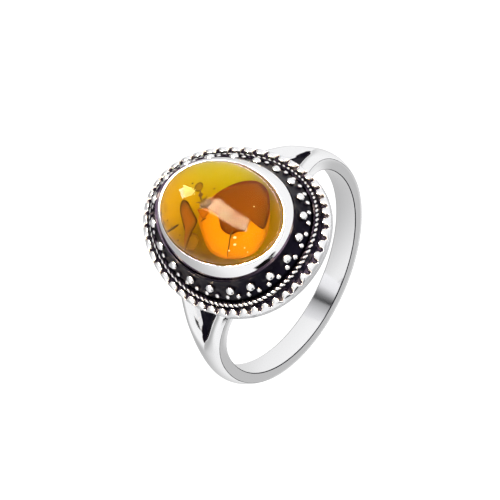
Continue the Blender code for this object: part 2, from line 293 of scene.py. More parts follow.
def polish_group():
    """Fine marks as a height, and a roughness that varies broadly round the given one."""
    group, given, result = new_group(
        "polish marks",
        [("NodeSocketFloat", "Scale", 900.0), ("NodeSocketFloat", "Roughness", 0.1)],
        [("NodeSocketFloat", "Height"), ("NodeSocketFloat", "Roughness")],
    )
    fine, broad = noise_in(group, given.outputs["Scale"], 5.0), noise_in(group, 240.0, 3.0)
    spread = math_node(group, "MULTIPLY_ADD", broad, 0.12, given.outputs["Roughness"])
    shifted = math_node(group, "SUBTRACT", spread, 0.06, use_clamp=True)
    group.links.new(fine, result.inputs["Height"])
    group.links.new(shifted, result.inputs["Roughness"])
    return group


def patina_and_painted_reflection_group():
    """Bare silver where the bare share is high and dark where it is low, with the mask between them: patina,
    and painted dark reflection on the band's edges.
    """
    group, given, result = new_group(
        "patina",
        [
            ("NodeSocketFloat", "Bare vs Patina and Painted Reflection", 1.0),
            ("NodeSocketColor", "Silver", (0.9, 0.9, 0.91, 1)),
            ("NodeSocketColor", "Dark", (0.007, 0.0065, 0.014, 1)),
        ],
        [("NodeSocketColor", "Colour"), ("NodeSocketFloat", "Mask")],
    )
    broken = math_node(group, "MULTIPLY_ADD", noise_in(group, 2600.0, 4.0), 0.5, given.outputs["Bare vs Patina and Painted Reflection"])
    mask = remap(group, broken, 0.55, 0.85, interpolation_type="SMOOTHSTEP")
    film = remap(group, noise_in(group, 900.0, 5.0), 0.55, 0.85, 0.0, 0.06)
    total = math_node(group, "MAXIMUM", mask, film)
    colour = mix_colours(group, total, given.outputs["Dark"], given.outputs["Silver"])
    group.links.new(colour, result.inputs["Colour"])
    group.links.new(mask, result.inputs["Mask"])
    return group


POLISH = polish_group()
PATINA_AND_PAINTED_REFLECTION = patina_and_painted_reflection_group()
print("node groups:", POLISH.name, PATINA_AND_PAINTED_REFLECTION.name)

# %% Silver materials


def new_material(name):
    material = bpy.data.materials.new(name)
    material.use_nodes = True
    tree = material.node_tree
    return material, tree, tree.nodes["Principled BSDF"]


def silver(name, colour, roughness, marks, depth):
    """Silver that is bare where the bare share is 1, and dark where it is 0: oxidised in the recesses, and
    painted dark reflection on the band's edges.
    """
    material, tree, shader = new_material(name)
    shader.inputs["Metallic"].default_value = 1
    polish = add(tree, "ShaderNodeGroup", {"Scale": marks, "Roughness": roughness}, node_tree=POLISH)
    relief = bump_node(tree, polish.outputs["Height"], depth, 0.00002)
    tree.links.new(relief.outputs["Normal"], shader.inputs["Normal"])
    links = {"Silver": (*colour, 1), "Bare vs Patina and Painted Reflection": attribute(tree, "bare_vs_patina_and_painted_reflection")}
    film = add(tree, "ShaderNodeGroup", links, node_tree=PATINA_AND_PAINTED_REFLECTION)
    tree.links.new(film.outputs["Colour"], shader.inputs["Base Color"])
    dull = remap(tree, film.outputs["Mask"], 0, 1, 0.5, polish.outputs["Roughness"])
    tree.links.new(dull, shader.inputs["Roughness"])
    return material


BAND_SILVER = silver("band_silver", (0.90, 0.90, 0.91), 0.10, 1500, 0.05)
SETTING_SILVER = silver("oxidised_silver", (0.90, 0.90, 0.92), 0.14, 2200, 0.25)
BEAD_SILVER = silver("bead_silver", (0.92, 0.92, 0.93), 0.08, 1800, 0.08)
WIRE_SILVER = silver("wire_silver", (0.88, 0.88, 0.90), 0.14, 2600, 0.15)
print("silver materials made")

# %% [markdown]
# ## The band
#
# A cast shank: flat inside and at its sides, with a low crown outside. Towards the head it widens and
# splits in two arms, with a dark sunken web in the gap. One loft round the finger holds all of it: the
# profile has fixed columns for the inner edges, the side facets, the arms and the web.

# %% The shank's measures by angle from the head
FINGER_RADIUS = 8.65
FLARE_ANGLE = 86
HEAD_ANGLE = 42
BRIDGE_ANGLE = 30
SPLIT_ANGLE = 62
EDGE_ROUND = 0.12
UNDER_HEAD_ANGLES = (28, 33, 37, 39, 42)
UNDER_HEAD_HEIGHTS = (0.5, 0.69, 0.85, 0.97, 1.05)


def half_width(angle):
    share = np.clip((FLARE_ANGLE - angle) / (FLARE_ANGLE - HEAD_ANGLE), 0, 1.15)
    return 1.0 + 1.35 * share**2


def side_height(angle):
    """Height of the sides over the finger hole; under the head it keeps below the plate's floor."""
    height = 0.88 + 0.17 * smooth_share(-angle, -FLARE_ANGLE, -HEAD_ANGLE)
    return min(height, float(np.interp(angle, UNDER_HEAD_ANGLES, UNDER_HEAD_HEIGHTS)))


def crown_height(angle):
    return 0.38 * smooth_share(angle, HEAD_ANGLE - 3.5, HEAD_ANGLE)


def half_gap(angle):
    share = max(0, (SPLIT_ANGLE - angle) / (SPLIT_ANGLE - HEAD_ANGLE))
    return 1.0 * share**1.25 + 0.03 * min(1, share * 8) + 0.01


def web_radius(angle):
    share = min(1, max(0, (SPLIT_ANGLE - angle) / (SPLIT_ANGLE - HEAD_ANGLE)))
    return 9.45 - 0.35 * share


print("half width at the back and head:", half_width(180), round(float(half_width(40)), 3))

# %% Loft the band
ARM_POINTS = 21
ARM_CREST = 0.58
ARM_DIP = 0.34
WEB_POINTS = 5
EDGE_POINTS = 6
TARNISH_AT_WEB = (1.2, 0.7, 0.2)
TARNISH_ANGLES = (51, 57)


def shank_profile(angle):
    """(radius, along, bare share) round one section, for an angle of 0 to 180 from the head."""
    half, side, crown = half_width(angle), side_height(angle), crown_height(angle)
    gap = half_gap(angle)
    split = smooth_share(-angle, -SPLIT_ANGLE - 6, -SPLIT_ANGLE + 10)
    depth = smooth_share(-angle, -SPLIT_ANGLE - 1, -SPLIT_ANGLE + 4)
    if angle < BRIDGE_ANGLE + 6:
        depth = depth * smooth_share(angle, BRIDGE_ANGLE, BRIDGE_ANGLE + 6)
    tip = smooth_share(-angle, -SPLIT_ANGLE - 2, -SPLIT_ANGLE + 2)
    near_tip = smooth_share(angle, *TARNISH_ANGLES)
    one_side = []
    for i in range(ARM_POINTS):
        share = i / (ARM_POINTS - 1)
        along = gap + (half - 0.05 - gap) * share
        whole = crown * (1 - (along / half) ** 2)
        if share > ARM_CREST:
            arm = crown * (1 - ((share - ARM_CREST) / (1 - ARM_CREST)) ** 2)
        else:
            arm = crown - (crown + ARM_DIP) * ((ARM_CREST - share) / ARM_CREST) ** 2.2
        rise = side + (1 - split) * whole + split * arm
        dark = tip * near_tip * TARNISH_AT_WEB[i] if i < len(TARNISH_AT_WEB) else 0.0
        one_side.append((FINGER_RADIUS + rise, along, 1 - dark))
    # Painted reflection: the low share at this bevel paints the dark line that the rounded outer edge
    # mirrors.
    one_side.append((FINGER_RADIUS + side - 0.015, half - 0.025, 0.05))
    one_side.append((FINGER_RADIUS + side - 0.05, half, 1.0))
    one_side.append((FINGER_RADIUS + side * 0.5, half, 1.0))
    for i in range(EDGE_POINTS):
        turn = math.pi / 2 * i / (EDGE_POINTS - 1)
        radius = FINGER_RADIUS + EDGE_ROUND * (1 - math.sin(turn))
        along = half - EDGE_ROUND * (1 - math.cos(turn))
        # Painted reflection: the middle points of the inner edge's round are painted dark, a line like the
        # one on the outer edge.
        one_side.append((radius, along, -0.6 if i in (2, 3) else 1.0))
    top = one_side[0][0]
    floor = top + (min(web_radius(angle), top) - top) * depth
    web = []
    for i in range(WEB_POINTS):
        along = gap * 0.9 * (2 * i / (WEB_POINTS - 1) - 1)
        web.append((floor, along, 1.0 - float(tip)))
    other = [(radius, -along, bare_vs_patina_and_painted_reflection) for radius, along, bare_vs_patina_and_painted_reflection in reversed(one_side)]
    return one_side + other + web


def shank_angles():
    fine = np.arange(30, 92, 0.5)
    coarse = np.arange(93, 181, 1.5)
    bridge = np.arange(0, 30, 3.0)
    right = np.concatenate((bridge, fine, coarse))
    return np.concatenate((right, -right[-2:0:-1]))


def make_band():
    points, bare_vs_patina_and_painted_reflection = [], []
    angles = shank_angles()
    for angle in angles:
        turn = math.radians(angle)
        bare = float(smooth_share(abs(angle), 28, 34))
        for radius, along, shine in shank_profile(abs(angle)):
            shine = min(shine, bare)
            points.append((radius * math.sin(turn), along, radius * math.cos(turn)))
            bare_vs_patina_and_painted_reflection.append(shine)
    columns = len(points) // len(angles)
    return mesh_object("band_silver_shank", points, grid_faces(len(angles), columns), {"bare_vs_patina_and_painted_reflection": bare_vs_patina_and_painted_reflection})


finish_piece(make_band(), BAND_SILVER, "band_silver", "band")

# %% [markdown]
# ## The plate
#
# The head's plate carries a steep ledge for the beads, a channel for the twisted wire and a rim of 46
# knobs. On the real ring the knobs are cut with a graver from a raised rim, which leaves rounded inner
# ends and narrow dark gaps. Here the rim is a height field over the loft: a row of half-round tongues.

# %% Profile rings of the plate
FLOOR_EDGE = (6.08, 4.87, 10.15, 0.0)
LEDGE_TOP = (6.10, 4.89, 11.07, 0.49)
LEDGE_FOOT = (6.89, 5.68, 9.30, 0.92)
CHANNEL_INNER = (6.90, 5.69, 8.66, 1.00)
CHANNEL_OUTER = (7.42, 6.21, 8.60, 0.96)
RIM_FOOT = (7.48, 6.12, 8.46, 0.86)
RIM_EDGE = (8.17, 6.81, 8.30, 0.80)
WALL_FOOT = (8.17, 6.81, 7.905, 0.80)
UNDERSIDE_EDGE = (5.90, 4.70, 8.324, 0.381)
HOLLOW_EDGE = (5.85, 4.65, 9.55, 0.0)
KNOBS = 46
KNOB_STATIONS = 14
KNOB_ROWS = 16
KNOB_HEIGHT = 0.50
KNOB_START = 0.16
KNOB_ROUNDING = 0.38
KNOB_HALF_WIDTH = 0.39
KNOB_FLARE = 0.24
KNOB_SHOULDER = 0.78


def knob_rise(across, out):
    """Height over the rim's foot, as a share of the knob's, at this place across and out."""
    reach = min(1.0, max(0.0, out - KNOB_START) / KNOB_ROUNDING)
    width = KNOB_HALF_WIDTH * math.sqrt(1 - (1 - reach) ** 2) + 1e-4
    width += KNOB_FLARE * float(smooth_share(out, KNOB_SHOULDER, 1.0))
    bulge = max(0.0, 1 - (abs(across) / width) ** 2.6) ** 0.5
    crown = 1 - 0.45 * max(0.0, (out - KNOB_SHOULDER) / 0.22) ** 2
    return bulge * crown * min(1.0, reach * 2.2)


print("rise of a knob at its middle:", round(knob_rise(0.0, 0.6), 3))

# %% Loft the plate
LEDGE_STEPS = 7


def plate_rows():
    """(ring, polished) down the profile, from the floor to the rim's foot."""
    rows = [(FLOOR_EDGE, 0.0), (LEDGE_TOP, 0.22)]
    for i in range(1, LEDGE_STEPS):
        share = i / LEDGE_STEPS
        ring = blend_rings(LEDGE_TOP, LEDGE_FOOT, share)
        sag = 0.10 * math.sin(math.pi * share)
        rows.append(((ring[0] - sag, ring[1] - sag, ring[2] - sag * 0.5, ring[3]), 0.0))
    rows += [(LEDGE_FOOT, 0.1), (blend_rings(LEDGE_FOOT, CHANNEL_INNER, 0.2), 0.0), (CHANNEL_INNER, 0.0)]
    rows += [(CHANNEL_OUTER, 0.0)]
    return rows


def make_plate():
    stations = even_turns(WALL_FOOT, KNOBS * KNOB_STATIONS)
    inner = plate_rows()
    outer = [(WALL_FOOT, 1.0), (blend_rings(WALL_FOOT, UNDERSIDE_EDGE, 0.03), 1.0)]
    outer += [(blend_rings(WALL_FOOT, UNDERSIDE_EDGE, 0.85), 0.9)]
    outer += [(UNDERSIDE_EDGE, 0.0), (HOLLOW_EDGE, 0.0)]
    columns = []
    shines = []
    for ring, shine in inner:
        columns.append(on_oval(ring, stations))
        shines.append(np.full(len(stations), shine))
    for row in range(KNOB_ROWS + 1):
        out = row / KNOB_ROWS
        ring = blend_rings(RIM_FOOT, RIM_EDGE, out)
        points = on_oval(ring, stations)
        shine = np.zeros(len(stations))
        for i in range(len(stations)):
            across = (i % KNOB_STATIONS) / KNOB_STATIONS
            across = across - 1 if across > 0.5 else across
            rise = knob_rise(across, out)
            points[i, 2] += KNOB_HEIGHT * rise
            shine[i] = smooth_share(rise, 0.30, 0.62)
            if row == KNOB_ROWS:
                shine[i] = 1.0
        columns.append(points)
        shines.append(shine)
    for ring, shine in outer:
        columns.append(on_oval(ring, stations))
        shines.append(np.full(len(stations), shine))
    grid = np.stack(columns, 1)
    shine = np.stack(shines, 1)
    rows, across = grid.shape[:2]
    faces = grid_faces(rows, across, wrap_columns=False)
    points = grid.reshape(-1, 3).tolist()
    values = shine.ravel().tolist()
    for column, height in ((0, FLOOR_EDGE[2]), (across - 1, HOLLOW_EDGE[2])):
        centre = len(points)
        points.append((0, 0, height))
        values.append(0.5)
        for i in range(rows):
            faces.append((i * across + column, (i + 1) % rows * across + column, centre))
    return mesh_object("plate", points, faces, {"bare_vs_patina_and_painted_reflection": values})


finish_piece(make_plate(), SETTING_SILVER, "oxidised_silver", "setting")

# %% [markdown]
# ## Beads
#
# Two rows of silver grains stand on the ledge: 20 large ones, and 40 small ones below them. Grains are
# little balls melted on charcoal and soldered on, so no two are quite the same. Geometry Nodes sets
# them along a closed line; the patina stays round their feet.

# %% A closed line on a head ring, and its result as a plain mesh
LINE_POINTS = 720


def closed_line(name, ring, count, phase):
    """A helper object: a closed line of edges along a head ring, which starts at this phase."""
    offset = even_turns(ring, count, phase)[0]
    turns = even_turns(ring, LINE_POINTS) + offset
    data = bpy.data.meshes.new(name)
    points = [pose @ Vector(point) for point in on_oval(ring, turns)]
    data.from_pydata(points, [(i, (i + 1) % LINE_POINTS) for i in range(LINE_POINTS)], [])
    return placed(name, data)


def set_inputs(modifier, tree, values):
    """Sets the modifier's inputs by their socket identifiers."""
    for socket in tree.interface.items_tree:
        if socket.item_type == "SOCKET" and socket.in_out == "INPUT" and socket.name in values:
            modifier[socket.identifier] = values[socket.name]


def grow(name, line, tree, values):
    """Runs the tree on the line and keeps the result as a plain mesh object of this name."""
    modifier = line.modifiers.new("grow", "NODES")
    modifier.node_group = tree
    set_inputs(modifier, tree, values)
    graph = bpy.context.evaluated_depsgraph_get()
    graph.update()
    data = bpy.data.meshes.new_from_object(line.evaluated_get(graph))
    data.name = name
    bpy.data.objects.remove(line)
    return placed(name, data)


def new_tree(name, inputs):
    tree = bpy.data.node_groups.new(name, "GeometryNodeTree")
    tree.interface.new_socket("Geometry", in_out="INPUT", socket_type="NodeSocketGeometry")
    for kind, label, value in inputs:
        socket = tree.interface.new_socket(label, in_out="INPUT", socket_type=kind)
        if value is not None:
            socket.default_value = value
    tree.interface.new_socket("Geometry", in_out="OUTPUT", socket_type="NodeSocketGeometry")
    return tree, tree.nodes.new("NodeGroupInput"), tree.nodes.new("NodeGroupOutput")


def set_polish(piece, centres, outward, low, high):
    """Polish by how far a vertex faces out from its nearest centre, from low to high."""
    tree = kdtree.KDTree(len(centres))
    for i, centre in enumerate(centres):
        tree.insert(pose @ Vector(centre), i)
    tree.balance()
    turn = pose.to_3x3().normalized()
    outward = [turn @ Vector(out) for out in outward]
    layer = piece.data.attributes.new("bare_vs_patina_and_painted_reflection", "FLOAT", "POINT")
    values = []
    for vertex in piece.data.vertices:
        place, i, _ = tree.find(vertex.co)
        values.append(float(smooth_share((vertex.co - place).dot(outward[i]) / MM, low, high)))
    layer.data.foreach_set("value", np.asarray(values, np.float32))


def ledge_normals(ring, turns):
    """Unit vectors out of the ledge, level across the oval and tipped up."""
    ahead = on_oval(ring, turns + 0.01) - on_oval(ring, turns - 0.01)
    ahead /= np.linalg.norm(ahead, axis=1)[:, None]
    out = np.cross(ahead, (0, 0, 1))
    out /= np.linalg.norm(out, axis=1)[:, None]
    up = np.cross(out, ahead)
    return out * 0.85 + up * 0.53


print("line helpers ready")

# %% What both trees share: the evened line, its ways out and up, and the ending


def even_line(tree, given, count):
    line = add(tree, "GeometryNodeMeshToCurve", {"Mesh": given.outputs["Geometry"]})
    links = {"Curve": line.outputs["Curve"], "Count": given.outputs[count]}
    return add(tree, "GeometryNodeResampleCurve", links).outputs["Curve"]


def ways_out_and_up(tree):
    tangent = add(tree, "GeometryNodeInputTangent").outputs[0]
    up = add(tree, "FunctionNodeInputVector", vector=tuple(head_axis)).outputs[0]
    out = vector_node(tree, "NORMALIZE", vector_node(tree, "CROSS_PRODUCT", tangent, up))
    return out, vector_node(tree, "CROSS_PRODUCT", out, tangent)


def end_tree(tree, mesh, given, result):
    """Realizes, smooths and paints the mesh, and gives it out."""
    real = add(tree, "GeometryNodeRealizeInstances", {"Geometry": mesh})
    smooth = add(tree, "GeometryNodeSetShadeSmooth", {"Geometry": real.outputs["Geometry"]})
    links = {"Geometry": smooth.outputs["Geometry"], "Material": given.outputs["Material"]}
    painted = add(tree, "GeometryNodeSetMaterial", links)
    tree.links.new(painted.outputs["Geometry"], result.inputs["Geometry"])


print("tree helpers ready")

# %% The tree that sets beads along a line
BEAD_FLATNESS = 0.82
LEDGE_OUT = 1.6


def bead_tree():
    tree, given, result = new_tree(
        "beads along a line",
        [
            ("NodeSocketInt", "Count", 20),
            ("NodeSocketFloat", "Radius", 0.00037),
            ("NodeSocketFloat", "Spread", 0.05),
            ("NodeSocketInt", "Seed", 3),
            ("NodeSocketMaterial", "Material", None),
        ],
    )
    links = {"Segments": 28, "Rings": 18, "Radius": given.outputs["Radius"]}
    ball = add(tree, "GeometryNodeMeshUVSphere", links)
    size = add(tree, "FunctionNodeRandomValue", {"Seed": given.outputs["Seed"]}, data_type="FLOAT_VECTOR")
    least = math_node(tree, "SUBTRACT", 1.0, given.outputs["Spread"])
    lowest = add(tree, "ShaderNodeCombineXYZ", {axis: least for axis in "XYZ"})
    tree.links.new(lowest.outputs[0], size.inputs[0])
    size.inputs[1].default_value = (1, 1, 1)
    out, rise = ways_out_and_up(tree)
    leant = vector_node(tree, "MULTIPLY_ADD", out, (LEDGE_OUT,) * 3, rise)
    facing = add(tree, "FunctionNodeAlignRotationToVector", {"Vector": leant}, axis="Z")
    links = {
        "Points": even_line(tree, given, "Count"),
        "Instance": ball.outputs["Mesh"],
        "Rotation": facing.outputs[0],
        "Scale": vector_node(tree, "MULTIPLY", size.outputs[0], (1, 1, BEAD_FLATNESS)),
    }
    put = add(tree, "GeometryNodeInstanceOnPoints", links)
    end_tree(tree, put.outputs["Instances"], given, result)
    return tree


BEAD_TREE = bead_tree()
LARGE_BEAD_LINE = (6.56, 5.35, 10.16, 0.73)
SMALL_BEAD_LINE = (6.80, 5.59, 9.58, 0.86)


def make_beads(name, ring, count, radius, seed, low, high):
    line = closed_line(name + "_line", ring, count, 0.5)
    values = {"Count": count, "Radius": radius * MM, "Spread": 0.06, "Seed": seed, "Material": BEAD_SILVER}
    beads = grow(name, line, BEAD_TREE, values)
    turns = even_turns(ring, count, 0.5)
    set_polish(beads, on_oval(ring, turns), ledge_normals(ring, turns), low * radius, high * radius)
    finish_piece(beads, None, "oxidised_silver")


make_beads("large_beads", LARGE_BEAD_LINE, 20, 0.37, 3, -0.15, 0.30)
make_beads("small_beads", SMALL_BEAD_LINE, 40, 0.22, 5, 0.10, 0.75)

# %% [markdown]
# ## Twisted wire
#
# Two round silver wires are twisted together, bent to an oval and soldered in the channel. 46 full turns
# show as 92 slanting strands. Geometry Nodes doubles the line, winds each copy round it with the phase
# of its number, and sweeps a small circle along both.

# %% The tree that winds two wires round a line


def wire_tree():
    tree, given, result = new_tree(
        "wires twisted round a line",
        [
            ("NodeSocketInt", "Points", 1472),
            ("NodeSocketFloat", "Turns", 46.0),
            ("NodeSocketFloat", "Winding Radius", 0.00011),
            ("NodeSocketFloat", "Wire Radius", 0.000125),
            ("NodeSocketMaterial", "Material", None),
        ],
    )
    line = even_line(tree, given, "Points")
    twice = add(tree, "GeometryNodeDuplicateElements", {"Geometry": line, "Amount": 2}, domain="SPLINE")
    index = add(tree, "GeometryNodeInputIndex").outputs[0]
    number = math_node(tree, "DIVIDE", index, given.outputs["Points"])
    wound = math_node(tree, "MULTIPLY", number, given.outputs["Turns"])
    half = math_node(tree, "MULTIPLY_ADD", math_node(tree, "FLOOR", number), 0.5, wound)
    angle = math_node(tree, "MULTIPLY", half, math.tau)
    parts = []
    for way, operation in zip(ways_out_and_up(tree), ("COSINE", "SINE")):
        wave = math_node(tree, operation, angle)
        size = math_node(tree, "MULTIPLY", wave, given.outputs["Winding Radius"])
        part = add(tree, "ShaderNodeVectorMath", {0: way, "Scale": size}, operation="SCALE")
        parts.append(part.outputs[0])
    links = {"Geometry": twice.outputs["Geometry"], "Offset": vector_node(tree, "ADD", *parts)}
    moved = add(tree, "GeometryNodeSetPosition", links).outputs["Geometry"]
    links = {"Resolution": 12, "Radius": given.outputs["Wire Radius"]}
    circle = add(tree, "GeometryNodeCurvePrimitiveCircle", links).outputs["Curve"]
    swept = add(tree, "GeometryNodeCurveToMesh", {"Curve": moved, "Profile Curve": circle})
    end_tree(tree, swept.outputs["Mesh"], given, result)
    return tree


WIRE_TREE = wire_tree()
WIRE_LINE = (7.17, 5.96, 8.92, 0.99)
WIRE_TURNS = 46
line = closed_line("wire_line", WIRE_LINE, WIRE_TURNS, 0)
values = {"Points": 32 * WIRE_TURNS, "Turns": -float(WIRE_TURNS), "Material": WIRE_SILVER}
wire = grow("wire_twist", line, WIRE_TREE, values)
turns = even_turns(WIRE_LINE, 1440)
set_polish(wire, on_oval(WIRE_LINE, turns), ledge_normals(WIRE_LINE, turns), 0.13, 0.22)
finish_piece(wire, None, "wire_silver", "twisted_wire")

# %% [markdown]
# ## The bezel
#
# A collar of thin silver is pushed over the stone's edge and burnished down, which leaves fine lines
# that run along it. The loft follows the CAD's rings with a smooth curve through them. Its outer side is
# shifted by under a tenth of a millimetre, to follow the photo.

# %% Loft the bezel
BEZEL_RINGS = (
    (5.44, 4.08, 10.20, 0.0),
    (5.41, 4.05, 11.74, 0.0),
    (5.45, 4.09, 11.92, 0.0),
    (5.60, 4.25, 11.95, 0.06),
    (5.80, 4.55, 11.63, 0.24),
    (5.96, 4.79, 11.12, 0.44),
    (5.96, 4.79, 10.20, 0.0),
)
BEZEL_LEAN = (-0.09, 0.08)
BEZEL_STATIONS = 288
BEZEL_STEPS = 8


def between(before, start, end, after, t):
    """The Catmull-Rom point at share t of the way from start to end."""
    straight = 2 * start + (end - before) * t
    bend = (2 * before - 5 * start + 4 * end - after) * t**2
    return 0.5 * (straight + bend + (3 * start - before - 3 * end + after) * t**3)


def curve_through(rings, first, last, steps):
    """Smooth steps through the rings from the first to the last of these numbers."""
    found = []
    rings = [np.array(ring) for ring in rings]
    for i in range(first, last):
        near = (rings[max(i - 1, first)], rings[i], rings[i + 1], rings[min(i + 2, last)])
        found += [between(*near, step / steps) for step in range(steps)]
    found.append(rings[last])
    return found


def make_bezel():
    rings = [np.array(BEZEL_RINGS[0])] + curve_through(BEZEL_RINGS, 1, 5, BEZEL_STEPS)
    rings.append(np.array(BEZEL_RINGS[6]))
    turns = even_turns(BEZEL_RINGS[0], BEZEL_STATIONS)
    grid = np.stack([on_oval(ring, turns) for ring in rings], 1)
    rows, columns = grid.shape[:2]
    rank = np.tile(np.arange(columns) / (columns - 1), rows)
    for axis in (0, 1):
        grid[:, :, axis] += BEZEL_LEAN[axis] * (rank * (rank < 1)).reshape(rows, columns)
    shine = np.where(rank > 0.985, 0.0, 1.0)
    values = {"rank": rank, "bare_vs_patina_and_painted_reflection": shine}
    return mesh_object("bezel_collar", grid.reshape(-1, 3).tolist(), grid_faces(rows, columns), values)


def burnished(name):
    """Silver with burnish lines along the collar, from the rank of a point across it."""
    material = silver(name, (0.92, 0.92, 0.93), 0.06, 1200, 0.04)
    tree = material.node_tree
    links = {"W": attribute(tree, "rank"), "Scale": 46.0, "Detail": 3.0}
    lines = add(tree, "ShaderNodeTexNoise", links, noise_dimensions="1D")
    relief = bump_node(tree, lines.outputs["Fac"], 0.3, 0.000006)
    shader = tree.nodes["Principled BSDF"]
    before = shader.inputs["Normal"].links[0].from_socket
    tree.links.new(before, relief.inputs["Normal"])
    tree.links.new(relief.outputs["Normal"], shader.inputs["Normal"])
    return material


finish_piece(make_bezel(), burnished("bezel_silver"), "bezel_silver", "bezel")

# %% [markdown]
# ## The amber
#
# Amber is fossil resin, with a refractive index of 1.54. Its colour is absorption: blue light halves in
# little over a millimetre and green fades slowly, so the deeper the amber, the warmer it looks. It is
# one clear closed form, an oval cabochon, in place of the CAD's two halves. The base reflection is
# turned low, and a thin coat carries the reflections instead.

# %% The clear stone
STONE_HALF = (4.00, 5.36)
STONE_TOP = 14.35
STONE_STATIONS = 128
DOME_ROWS = 40


def dome_height(across, along):
    """Height of the dome over a place, in the ring's frame."""
    inside = 1 - (across / STONE_HALF[0]) ** 2 - (along / STONE_HALF[1]) ** 2
    return STONE_PARTING + (STONE_TOP - STONE_PARTING) * math.sqrt(max(0.0, inside))


def flat_oval(half, share, height):
    """A level closed loop of points, at this share of the half width and half length."""
    points = []
    for i in range(STONE_STATIONS):
        turn = math.tau * i / STONE_STATIONS
        points.append((half[0] * share * math.cos(turn), half[1] * share * math.sin(turn), height))
    return points


def make_stone():
    levels = [(0.985, STONE_FOOT), (1.0, STONE_FOOT + 0.04), (1.0, STONE_PARTING)]
    for i in range(1, DOME_ROWS):
        lean = math.pi / 2 * i / DOME_ROWS
        levels.append((math.cos(lean), STONE_PARTING + (STONE_TOP - STONE_PARTING) * math.sin(lean)))
    points = []
    for share, height in levels:
        points += flat_oval(STONE_HALF, share, height)
    faces = grid_faces(len(levels), STONE_STATIONS, wrap_rows=False)
    for row, height in ((0, STONE_FOOT), (len(levels) - 1, STONE_TOP)):
        points.append((0, 0, height))
        faces += cap_faces(row * STONE_STATIONS, STONE_STATIONS, len(points) - 1)
    return mesh_object("amber_cabochon", points, faces)


def amber_material():
    material, tree, shader = new_material("amber_clear")
    shader.inputs["Base Color"].default_value = (0.58, 0.60, 0.50, 1)
    shader.inputs["Transmission Weight"].default_value = 1
    shader.inputs["IOR"].default_value = 1.54
    shader.inputs["Roughness"].default_value = 0.0
    shader.inputs["Specular Tint"].default_value = (0.02, 0.02, 0.02, 1)
    shader.inputs["Coat Weight"].default_value = 0.04
    shader.inputs["Coat Roughness"].default_value = 0.02
    depth = add(tree, "ShaderNodeVolumeAbsorption", {"Color": (1.0, 0.93, 0.02, 1), "Density": 560})
    tree.links.new(depth.outputs["Volume"], tree.nodes["Material Output"].inputs["Volume"])
    relief = bump_node(tree, noise_in(tree, 150.0, 2.0), 0.015, 0.0001)
    tree.links.new(relief.outputs["Normal"], shader.inputs["Normal"])
    return material


finish_piece(make_stone(), amber_material(), "amber", "amber_base", "amber_crown")

# %% [markdown]
# ## Under the stone
#
# Light passes the amber, strikes what lies under it and comes back out, which is why the stone glows.
# A thin cup of matt foil lines the stone's foot and sides, in places yellow and in places brown, darker
# towards +X, so the colour of the stone varies over it. It lies just inside the amber, because a gap between
# them would mirror. Towards +Y the foil is painted lighter, its wall too, and it glows a little: painted
# light that lifts the shadow that the spangle sheets cast on it.

# %% The seat foil
FOIL_RINGS = 24
FOIL_TOP = 10.235
FOIL_UNDER = 10.215
FOIL_LIFT = 0.006
FOIL_HALF = (3.95, 5.31)
FOIL_WALL = ((3.960, 5.320, 10.26), (3.962, 5.322, 11.68), (3.980, 5.340, 11.68), (3.978, 5.338, 10.25))


def make_seat():
    """A closed cup: an uneven floor, its underside, and a thin wall round both."""
    points = []
    for i in range(1, FOIL_RINGS + 1):
        share = i / FOIL_RINGS
        for x, y, z in flat_oval(FOIL_HALF, share, FOIL_TOP):
            lift = FOIL_LIFT * math.sin(x * 3.1 + 1) * math.sin(y * 2.3)
            points.append((x, y, z + lift * (1 - share**4)))
    count = len(points)
    points += [(x, y, FOIL_UNDER) for x, y, z in points]
    faces = []
    for level in (0, count):
        for i in range(FOIL_RINGS - 1):
            near = level + i * STONE_STATIONS
            faces += ring_faces(near, near + STONE_STATIONS, STONE_STATIONS)
        faces.append([level + j for j in range(STONE_STATIONS)])
    last = (FOIL_RINGS - 1) * STONE_STATIONS
    wall = len(points)
    for half_x, half_y, height in FOIL_WALL:
        points += flat_oval((half_x, half_y), 1, height)
    loops = [last] + [wall + i * STONE_STATIONS for i in range(len(FOIL_WALL))] + [count + last]
    for near, far in zip(loops, loops[1:]):
        faces += ring_faces(near, far, STONE_STATIONS)
    values = {
        "across": [point[0] for point in points],
        "along": [point[1] for point in points],
        "depth": [0.0] * wall + [point[2] - STONE_FOOT for point in points[wall:]],
    }
    return mesh_object("seat_foil", points, faces, values)


# %% The foil's colours
FLOOR_STOPS = (
    (0.0, (0.32, 0.41, 0.006)),
    (0.25, (0.36, 0.42, 0.006)),
    (0.5, (0.42, 0.35, 0.002)),
    (0.72, (0.40, 0.28, 0.002)),
    (0.95, (0.21, 0.13, 0.002)),
)
WALL_PAINTED_LIGHT_STOPS = ((0.0, (0.30, 0.19, 0.01)), (0.8, (0.60, 0.42, 0.02)))
# Painted light: towards +Y the foil's floor and wall are painted lighter and the foil glows, against the
# spangle sheets' shadow.
PAINTED_LIT_FLOOR = (0.46, 0.34, 0.02, 1)
PAINTED_GLOW = (0.56, 0.42, 0.02, 1)


